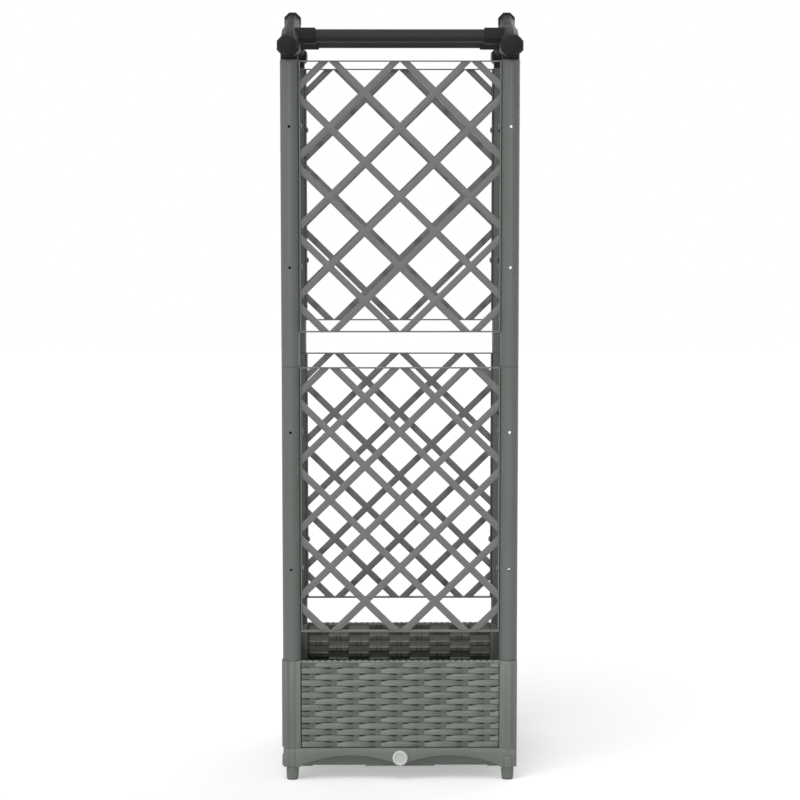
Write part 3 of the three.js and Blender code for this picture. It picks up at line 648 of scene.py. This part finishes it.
def wall(name, along, out, k):
    """A wall with the column at its right-hand end, drawn as the front one and turned k times.

    From the middle, its columns' axes lie along to either side, and out in front.
    """
    s = Shape()
    x0, x1 = -along + HALF + FIT, along - HALF
    # seen only as the dark ground between bands, a sheet painted dark as shade, and as the inside's plain
    # squares, painted a little darker as shade
    sheet(s, x0, x1, -out - CORE_OUT, -out - CORE_IN, RECESS)
    sheet(s, x0, x1, -out - CORE_IN, -out - SKIN_IN, INSIDE, 0.95)
    reach = int(along / PITCH) + 2
    for i in range(-reach, reach + 1):
        c = i * PITCH
        if c + STAKE_W / 2 >= x0 + 1 and c - STAKE_W / 2 <= x1 - 1:
            stake(s, c, x0, x1, out)
    for row in range(ROWS):
        z = WALL_BOTTOM + row * ROW_H
        for i in range(-reach, reach + 1):
            c = (2 * i + row % 2) * PITCH
            strand(s, c, z, x0 + GAP_LEFT, x1 - GAP_RIGHT, out)
            inner_block(s, c, max(z, BLOCKS_FROM), z + ROW_H, x0, x1, out)
    rim(s, x0, x1, out)
    column = [(x + along, y - out) for x, y in column_outline(True)]
    s.add(*prism(column, WALL_BOTTOM, WALL_TOP), RESIN)
    mats = [resin, resin_weave, resin_stake_painted_shade, resin_recess_painted_shade, resin_inside_painted_shade]
    fit(s.object(name + "_fine", mats, turn_z(k), sharp=42), name)


wall("wall_front", PX, PY, 0)
wall("wall_right", PY, PX, 1)
wall("wall_back", PX, PY, 2)
wall("wall_left", PY, PX, 3)


# ---------------------------------------------------------------- base skirt
def arch_line(half):
    """The skirt's lower edge along one side: two arches that meet in the middle."""
    span = half / 2
    radius = (span * span + ARCH_RISE * ARCH_RISE) / (2 * ARCH_RISE)
    crown = BASE_TOP - ARCH_DROP
    steps = 28
    line = [(-half - 1, BASE_BOTTOM)]
    for c in (-span, span):
        for i in range(1 if c > 0 else 0, steps + 1):
            dx = span * (2 * i / steps - 1)
            line.append((c + dx, crown - radius + math.sqrt(radius * radius - dx * dx)))
    line.append((half + 1, BASE_BOTTOM))
    return line


def skirt_side(s, along, out, at):
    """The strip between the arches and the straight top, and the ledge that carries the tray's rim."""
    half, face = along - HALF, -(out + HALF)
    rows = []
    for x, z in arch_line(half):
        rows.append([
            (x, face + SKIRT_T, z), (x, face + 0.6, z), (x, face + 0.15, z + 0.2), (x, face, z + 0.65),
            (x, face, BASE_TOP - 0.5), (x, face + 0.15, BASE_TOP - 0.15), (x, face + 0.5, BASE_TOP),
            (x, face + SKIRT_T, BASE_TOP)])
    verts, faces = bridge(rows)
    s.add(verts, turned(faces), 0, at)
    ledge = rect(-half - 1, face + 1, half + 1, face + LEDGE_W)
    s.add(*prism(ledge, *LEDGE_Z, 0.4), 0, at)


def base_skirt():
    s = Shape()
    rib = soften(rect(-RIB_W / 2, -HALF - RIB_H, RIB_W / 2, -HALF + 2), 0.9)
    for k in range(4):
        along, out = (PX, PY) if k % 2 == 0 else (PY, PX)
        skirt_side(s, along, out, turn_z(k))
        at = turn_z(k) @ Matrix.Translation((along, -out, 0))
        s.add(*prism(column_outline(False), BASE_BOTTOM, BASE_TOP, 0.9), 0, at)
        s.add(*prism(rib, BASE_BOTTOM, BASE_TOP - NOTCH_H, 0.9), 0, at)
    fit(s.object("base_skirt_fine", [resin]), "base_skirt")


base_skirt()

# ---------------------------------------------------------------- feet
FOOT = [(9.3, 0.0), (9.9, 0.15), (10.25, 0.6), (10.45, 2.3), (10.2, 2.5), (10.5, 2.8), (11.0, 7.0),
        (11.4, 13.0), (11.3, 18.0), (10.9, 22.5), (10.2, 24.6), (9.6, 25.7), (8.0, 25.7), (8.0, 39.5)]
# the points below form the foot's bottom band, painted darker as shade
FOOT_SHADED_BAND = 5                                             # this many of its points belong to the dark pad
FOOT_SHOULDER = 25                                       # above this height the foot is round
SQUARENESS = 2.6                                         # the power of its outline below; 2 is a circle


def rounded_square(r, power, steps=56):
    """A circle at power 2, and squarer above that."""
    out = []
    for i in range(steps):
        t = 2 * math.pi * i / steps
        x, y = math.cos(t), math.sin(t)
        q = (abs(x) ** power + abs(y) ** power) ** (-1 / power)
        out.append((r * q * x, r * q * y))
    return out


def foot(name, sx, sy):
    s = Shape()
    loops = []
    for r, z in FOOT:
        outline = rounded_square(r, SQUARENESS if z < FOOT_SHOULDER else 2.0)
        loops.append([(x, y, z) for x, y in outline])
    s.add(*bridge(loops[:FOOT_SHADED_BAND]), 1)
    s.add(*bridge(loops[FOOT_SHADED_BAND - 1:]), 0)
    at = Matrix.Translation((sx * PX, sy * PY, 0))
    fit(s.object(name + "_fine", [resin, resin_dark], at), name)


for name, sx, sy in CORNERS:
    foot(f"foot_{name}", sx, sy)


# ---------------------------------------------------------------- posts
# a black web inside a front left post is painted shade for the tube's dark inside
SHADE_WEB = (0.0296, 0.001, 0.018, 1.0)                        # a web's size in metres; the bore is 0.029 wide


def hole_tool(panel, sx, sy):
    """What cuts a post's holes: a small one through the outer side and a larger one through the inner."""
    cut = Shape()
    for z in (panel + SCREW_INSET, panel + PANEL_H - SCREW_INSET):
        for r, y0, y1 in ((HOLE_R, -POST_R - 2, -POST_R + 4), (TOOL_HOLE_R, POST_R - 4, POST_R + 2)):
            verts, faces = lathe([(0.001, y0), (r, y0), (r, y1), (0.001, y1)], 28)
            rod = [(x, h, y + z) for x, y, h in verts]
            cut.add(rod, turned(faces), 0, Matrix.Rotation(math.pi if sy > 0 else 0.0, 4, "Z"))
    return cut.object("tmp_tool", [resin_tube], Matrix.Translation((sx * PX, sy * PY, 0)))


def cut_holes(ob, tool):
    m = ob.modifiers.new("holes", "BOOLEAN")
    m.operation, m.solver, m.object = "DIFFERENCE", "EXACT", tool
    dg = bpy.context.evaluated_depsgraph_get()
    me = bpy.data.meshes.new_from_object(ob.evaluated_get(dg))
    ob.modifiers.clear()
    ob.data = me
    bpy.data.objects.remove(tool)
    return me


def painted_shade_webs(me, panel, sx, sy):
    """A black web in the tube behind each small hole closes the view through it, as painted shade for the
    tube's dark inside.
    """
    bm = bmesh.new()
    bm.from_mesh(me)
    for z in (panel + SCREW_INSET, panel + PANEL_H - SCREW_INSET):
        at = Matrix.Translation((sx * PX * MM, sy * PY * MM, z * MM)) @ Matrix.Diagonal(SHADE_WEB)
        new = bmesh.ops.create_cube(bm, size=1.0, matrix=at)["verts"]
        for f in {f for v in new for f in v.link_faces}:
            f.material_index = 1
    bm.to_mesh(me)
    bm.free()
    me.materials.append(rubber_and_painted_shade)


def round_again(me, cx, cy):
    """The tube looks round also where the holes have cut its long faces."""
    normals = [n.vector.copy() for n in me.corner_normals]
    for p in me.polygons:
        radial = Vector((p.center.x - cx, p.center.y - cy, 0)).normalized()
        if abs(p.normal.z) < 0.02 and p.normal.dot(radial) > 0.95:
            for li in p.loop_indices:
                co = me.vertices[me.loops[li].vertex_index].co
                q = Vector((co.x - cx, co.y - cy, 0))
                if q.length > (POST_R - 0.1) * MM:
                    normals[li] = q.normalized()
    me.normals_split_custom_set(normals)


def post(name, z0, top, panel, sx, sy):
    """A tube on a narrowed plug; panel is the height of the lower edge of the panel beside it."""
    r, bore = POST_R, POST_R - POST_WALL
    plug, length = bore - FIT, top - z0
    profile = [(plug - 2, -POST_PLUG), (plug - 0.5, -POST_PLUG), (plug, -POST_PLUG + 0.5), (plug, -0.4),
               (plug + 0.2, 0), (r - 0.5, 0), (r - 0.15, 0.15), (r, 0.5),
               (r, length - 0.6), (r - 0.18, length - 0.18), (r - 0.6, length), (bore, length),
               (bore, 2), (plug - 2, 2)]
    s = Shape()
    s.add(*lathe(profile, 72, closed=True))
    ob = s.object(name + "_fine", [resin_tube], Matrix.Translation((sx * PX, sy * PY, z0)))
    me = cut_holes(ob, hole_tool(panel, sx, sy))
    # only the front left posts get the painted shade
    if name.endswith("front_left"):
        painted_shade_webs(me, panel, sx, sy)
    me.shade_smooth()
    me.set_sharp_from_angle(angle=math.radians(SHARP))
    round_again(me, sx * PX * MM, sy * PY * MM)
    fit(ob, name)


for name, sx, sy in CORNERS:
    for level in LEVELS:
        post(f"{level}_post_{name}", *POST_Z[level], PANEL_Z[level], sx, sy)


# ---------------------------------------------------------------- trellis panels
PANEL_HALF_W, PANEL_HALF_H = PANEL_W / 2, PANEL_H / 2
UP = Matrix.Rotation(math.pi / 2, 4, "X")


def clip(poly, a, b, c):
    """The part of a convex outline where a x + b y <= c."""
    out = []
    for p, q in zip(poly, poly[1:] + poly[:1]):
        dp, dq = a * p[0] + b * p[1] - c, a * q[0] + b * q[1] - c
        if dp <= 0:
            out.append(p)
        if dp * dq < 0:
            t = dp / (dp - dq)
            out.append((p[0] + (q[0] - p[0]) * t, p[1] + (q[1] - p[1]) * t))
    return out


def area(poly):
    return sum(p[0] * q[1] - q[0] * p[1] for p, q in zip(poly, poly[1:] + poly[:1])) / 2


def openings():
    """The clockwise outlines of the openings that two sets of slanting strips leave in a panel."""
    slant = math.atan2(LATTICE_Z, LATTICE_X)
    nx, ny = math.sin(slant), math.cos(slant)
    step, half_strip = LATTICE_X * nx, STRIP_W / 2
    x, y = PANEL_HALF_W - 1.0, PANEL_HALF_H - 1.0
    many, far, smallest = 9, 400, 6
    found = []
    for i in range(-many, many):
        for j in range(-many, many):
            poly = rect(-far, -far, far, far)
            for a, b, c in ((nx, ny, (i + 1) * step - half_strip), (-nx, -ny, -i * step - half_strip),
                            (-nx, ny, (j + 1) * step - half_strip), (nx, -ny, -j * step - half_strip),
                            (1, 0, x), (-1, 0, x), (0, 1, y), (0, -1, y)):
                poly = clip(poly, a, b, c)
                if len(poly) < 3:
                    break
            if len(poly) >= 3 and abs(area(poly)) > smallest:
                found.append(soften(poly, 0.7, 2)[::-1])
    return found


def panel_rect(inward):
    return rect(-PANEL_HALF_W + inward, -PANEL_HALF_H + inward, PANEL_HALF_W - inward, PANEL_HALF_H - inward)


lattice = plate(panel_rect(0.1), openings(), STRIP_T, 0.4, 0.0)
border = plate(soften(panel_rect(0), 1.0), [soften(panel_rect(BORDER_W), 0.8)[::-1]], BORDER_T, 0.5)
for side, sy in FRONT_BACK:
    for level in LEVELS:
        s = Shape()
        s.add(*lattice)
        s.add(*border)
        at = Matrix.Translation((0, sy * PY, PANEL_Z[level] + PANEL_HALF_H)) @ UP
        node = f"trellis_{side}_{level}"
        # the back panels take the lattice painted darker as shade
        mat = resin_lattice if side == "front" else resin_lattice_back_painted_shade
        fit(s.object(node + "_fine", [mat], at), node)

# ---------------------------------------------------------------- screws
HEAD = [(0.01, -3.3), (1.2, -3.3), (2.4, -3.2), (3.7, -2.9), (4.7, -2.3), (5.3, -1.5), (5.5, -0.9),
        (5.5, -0.3)]
THREAD = [(2.2 if i % 2 == 0 else 1.75, -0.3 + i * 0.45) for i in range(26)] + [(0.01, 12.0)]


def screw(node, at):
    """A screw with its head toward -Z and a black cross on it, painted shade for a cross recess."""
    s = Shape()
    s.add(*lathe(HEAD + THREAD, 28), 0)
    # the cross is a thin black prism on the head: painted shade for the recess
    verts, faces = prism(rect(-2.6, -0.45, 2.6, 0.45), -3.42, -2.9, 0.08)
    for turn in (0, math.pi / 2):
        s.add(verts, faces, 1, Matrix.Rotation(turn, 4, "Z"))
    fit(s.object(node + "_fine", [steel, rubber_and_painted_shade], at), node)


for name, sx, sy in CORNERS:
    outward = Matrix.Rotation(0 if sx > 0 else math.pi, 4, "Z") @ Matrix.Rotation(math.pi / 2, 4, "Y")
    for level in LEVELS:
        for spot, z in (("low", SCREW_INSET), ("high", PANEL_H - SCREW_INSET)):
            at = Matrix.Translation((sx * (PANEL_HALF_W - BORDER_W), sy * PY, PANEL_Z[level] + z)) @ outward
            screw(f"screw_{name}_{level}_{spot}", at)

# ---------------------------------------------------------------- gabled top
SLOPE = math.atan2(ARM_RISE, PY - RIDGE_HALF)
ALONG_Y = Matrix.Rotation(-math.pi / 2, 4, "X")
ALONG_X = Matrix.Rotation(math.pi / 2, 4, "Y")
UPHILL = Matrix.Rotation(SLOPE, 4, "X") @ ALONG_Y
TEE_Z = TEE_Y * math.tan(SLOPE)
SOCKET_END = TEE_Y / math.cos(SLOPE) + SOCKET_PAST       # up the slope
RIDGE_FACE = PY - RIDGE_HALF - FIT                       # where an arm is cut off upright


def oct_rod(d, a, b, edge=0.9, soft=1.3):
    return prism(ring(d, 8, soft), a, b, edge)


def round_rod(d, a, b):
    return prism(ring(d, 48), a, b)


def arm():
    """The thin part of an arm, from inside its socket up to the upright cut at the ridge."""
    outline = ring(ARM_D, 8, 1.2)
    start = SOCKET_END - 3
    c, s = math.cos(SLOPE), math.sin(SLOPE)
    loops = [[(x, start * c - v * s, start * s + v * c) for x, v in outline]]
    for inward, back in ((0, 0.9), (0.3, 0.3), (0.9, 0.0)):
        y = RIDGE_FACE - back
        cut = inset(outline, inward) if inward else outline
        loops.append([(x, y, y * math.tan(SLOPE) + v / c) for x, v in cut])
    verts, faces = bridge(loops)
    return verts, turned(faces)


def connector(node, toward, at):
    """A corner fitting whose arm climbs along +Y; toward is the side, 1 or -1, on which its crossbar lies."""
    s = Shape()
    s.add(*round_rod(STEM_D, *STEM_Z))
    s.add(*round_rod(COLLAR_D, *COLLAR_Z))
    s.add(*oct_rod(BARREL_D, *BARREL_Y, 1.2, 1.6), 0, ALONG_Y)
    s.add(*oct_rod(SOCKET_D, 0, SOCKET_END, 1.0), 0, UPHILL)
    s.add(*arm())
    plug_at = Matrix.Translation((0, 0, RIDGE_UP)) @ ALONG_Y
    s.add(*oct_rod(RIDGE_PLUG_D, RIDGE_FACE - 0.5, PY - 2, 0.5), 0, plug_at)
    a, b = sorted((0.0, toward * TEE_LENGTH))
    s.add(*oct_rod(TEE_D, a, b), 0, Matrix.Translation((0, TEE_Y, TEE_Z)) @ ALONG_X)
    fit(s.object(node + "_fine", [fitting], at), node)


def ball_profile():
    """A ball, its front between round and a shallow cone, and the stem behind it."""
    shoulder, cone_share, cone_slope = -9, 0.35, 0.571
    pts = [(0.01, -BALL_R)]
    for i in range(1, 37):
        t = math.pi * i / 40
        r, z = BALL_R * math.sin(t), -BALL_R * math.cos(t)
        if z < shoulder:
            z += cone_share * (-BALL_R + cone_slope * r - z) * smooth((shoulder - z) / 2)
        pts.append((r, z))
    return pts + [(8.6, 15.6), (8.2, 16.2), (8.0, 18.3), (8.0, 36.3), (0.01, 36.3)]


def ball_cap(node, at):
    s = Shape()
    s.add(*lathe(ball_profile(), 56), 0, ALONG_Y)
    fit(s.object(node + "_fine", [ball_black], at), node)


def crossbar(node, at):
    s = Shape()
    r, end = BAR_D / 2, BAR_HALF
    profile = [(r - 2, -end), (r - 0.4, -end), (r, -end + 0.4), (r, end - 0.4), (r - 0.4, end), (r - 2, end)]
    s.add(*lathe(profile, 64, closed=True), 0, ALONG_X)
    fit(s.object(node + "_fine", [bar_black], at), node)


def ridge_sleeve(node, at):
    """A level octagonal sleeve with rounded rims, over the plugs of two arms."""
    s = Shape()
    outer, bore = ring(RIDGE_D, 8, 1.3), ring(RIDGE_PLUG_D + 2 * FIT, 8, 1.3)
    edge, k, end = 0.8, 0.25, RIDGE_HALF
    loops = [[(x, y, z) for x, y in inset(outline, d)] for outline, d, z in (
        (bore, 0, -end), (outer, edge, -end), (outer, k, -end + k), (outer, 0, -end + edge),
        (outer, 0, end - edge), (outer, k, end - k), (outer, edge, end), (bore, 0, end), (bore, 0, -end))]
    s.add(*bridge(loops, capped=False), 0, ALONG_Y)
    fit(s.object(node + "_fine", [fitting], at, sharp=25), node)


for name, sx, sy in CORNERS:
    inward = Matrix.Rotation(math.pi if sy > 0 else 0.0, 4, "Z")
    connector(f"connector_{name}", 1 if sx * sy > 0 else -1,
              Matrix.Translation((sx * PX, sy * PY, HUB_Z)) @ inward)
    ball_cap(f"ball_cap_{name}", Matrix.Translation((sx * PX, sy * BALL_Y, HUB_Z)) @ inward)
for side, sy in FRONT_BACK:
    crossbar(f"crossbar_{side}", Matrix.Translation((0, sy * (PY - TEE_Y), HUB_Z + TEE_Z)))
for side, sx in (("left", -1), ("right", 1)):
    ridge_sleeve(f"ridge_elbow_{side}", Matrix.Translation((sx * PX, 0, HUB_Z + RIDGE_UP)))

# ---------------------------------------------------------------- drain plug
PLUG = [(0.01, 3.3), (9.8, 3.3), (10.1, 3.4), (10.25, 3.8), (10.3, 4.2), (10.6, 4.45), (11.0, 4.5),
        (12.6, 4.5), (13.3, 4.2), (13.7, 3.6), (13.75, 2.8), (13.75, 0.7), (13.5, 0.3), (9.75, 0.3),
        (9.75, -3.0), (6.7, -3.0), (6.7, -12.4), (6.2, -13.0), (0.01, -13.0)]
PLUG_SIDES = 72


def drain_plug():
    s = Shape()
    verts, faces = lathe(PLUG, PLUG_SIDES)
    s.add(verts, turned(faces))
    s.mats[:PLUG_SIDES] = [1] * PLUG_SIDES                   # the flat face within the raised rim
    for r in (3.2, 6.4):                                     # two faint moulded rings on it
        profile = [(r - 0.35, 3.28), (r - 0.2, 3.42), (r + 0.2, 3.42), (r + 0.35, 3.28)]
        s.add(*lathe(profile), 1)
    at = Matrix.Translation((0, -PY - HALF, DRAIN_Z)) @ UP
    fit(s.object("drain_plug_fine", [plug_light, plug_face], at), "drain_plug", "drain_plug")


drain_plug()

# ---------------------------------------------------------------- pieces shown as their solids
# the tray and the soil floor take the resin painted darker as shade; the seal is black rubber
for node, mat in (("drain_seal", rubber_and_painted_shade), ("water_tray", resin_dark), ("soil_floor", resin_dark)):
    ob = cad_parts[node]
    ob.data.materials.clear()
    ob.data.materials.append(mat)


# ---------------------------------------------------------------- floor, world, lamps, camera
WHITE = (1, 1, 1, 1)


def floor_material():
    """Pale and matt, and lit up a little where it is shown, so that only the object's shadow is seen."""
    n = Nodes(bpy.data.materials.new("floor_pale"), "OutputMaterial")
    at = n.node("TexCoord").outputs["Object"]
    painted_light = n.mix(n.span(n.noise(at, 2.0), 0.3, 0.7), (0.93, 0.93, 0.93, 1), (0.95, 0.95, 0.95, 1))
    diffuse = n.node("BsdfDiffuse")
    n.link(painted_light, diffuse.inputs["Color"])
    lit = n.node("AddShader")
    n.link(diffuse.outputs[0], lit.inputs[0])
    n.link(n.node("Emission", Strength=0.37).outputs[0], lit.inputs[1])
    n.link(n.mix_shader(n.shown(), diffuse.outputs[0], lit.outputs[0]), n.out.inputs["Surface"])
    return n.owner


bm = bmesh.new()
bmesh.ops.create_grid(bm, x_segments=8, y_segments=8, size=9.0)
me = bpy.data.meshes.new("floor")
bm.to_mesh(me)
bm.free()
me.materials.append(floor_material())
floor = bpy.data.objects.new("floor", me)
bpy.context.scene.collection.objects.link(floor)

# the world is plain white where it is shown, and lights softly
world = Nodes(bpy.data.worlds.new("studio"), "OutputWorld")
bpy.context.scene.world = world.owner
soft = world.node("Background", Color=WHITE, Strength=0.28)
white = world.node("Background", Color=WHITE, Strength=1.0)
world.link(world.mix_shader(world.shown(), soft.outputs[0], white.outputs[0]), world.out.inputs["Surface"])


def sun(name, toward, energy, angle):
    """toward: the direction from the object to the lamp."""
    la = bpy.data.lights.new(name, "SUN")
    la.energy, la.angle = energy, math.radians(angle)
    ob = bpy.data.objects.new(name, la)
    bpy.context.scene.collection.objects.link(ob)
    ob.rotation_euler = Vector(toward).normalized().to_track_quat("Z", "Y").to_euler()


sun("key", (0.0, -1.0, 0.18), 0.78, 3.0)
sun("side", (-1.0, -0.6, 0.5), 0.5, 40.0)
sun("top", (-0.2, -0.45, 1.0), 0.9, 30.0)
sun("fill", (0.75, 1.0, 0.5), 0.8, 60.0)

# fitted so that the object's edges lie where they do in the photo
CAMERA_AT = (-0.018516, -3.775303, 1.112418)             # metres
CAMERA_DOWN, CAMERA_RIGHT = 0.0932594, 0.00508763        # radians from level and from straight along +Y
scene = bpy.context.scene
scene.view_settings.view_transform = "Standard"
cam = bpy.data.cameras.new("camera")
cam.lens, cam.sensor_width, cam.sensor_fit = 90.837, 36.0, "HORIZONTAL"
cam.shift_x, cam.shift_y = 0.0, -0.05
cam.clip_start, cam.clip_end = 0.05, 60.0
camera = bpy.data.objects.new("camera", cam)
scene.collection.objects.link(camera)
camera.location = CAMERA_AT
camera.rotation_euler = (math.pi / 2 - CAMERA_DOWN, 0.0, -CAMERA_RIGHT)
scene.camera = camera

bpy.context.view_layer.update()
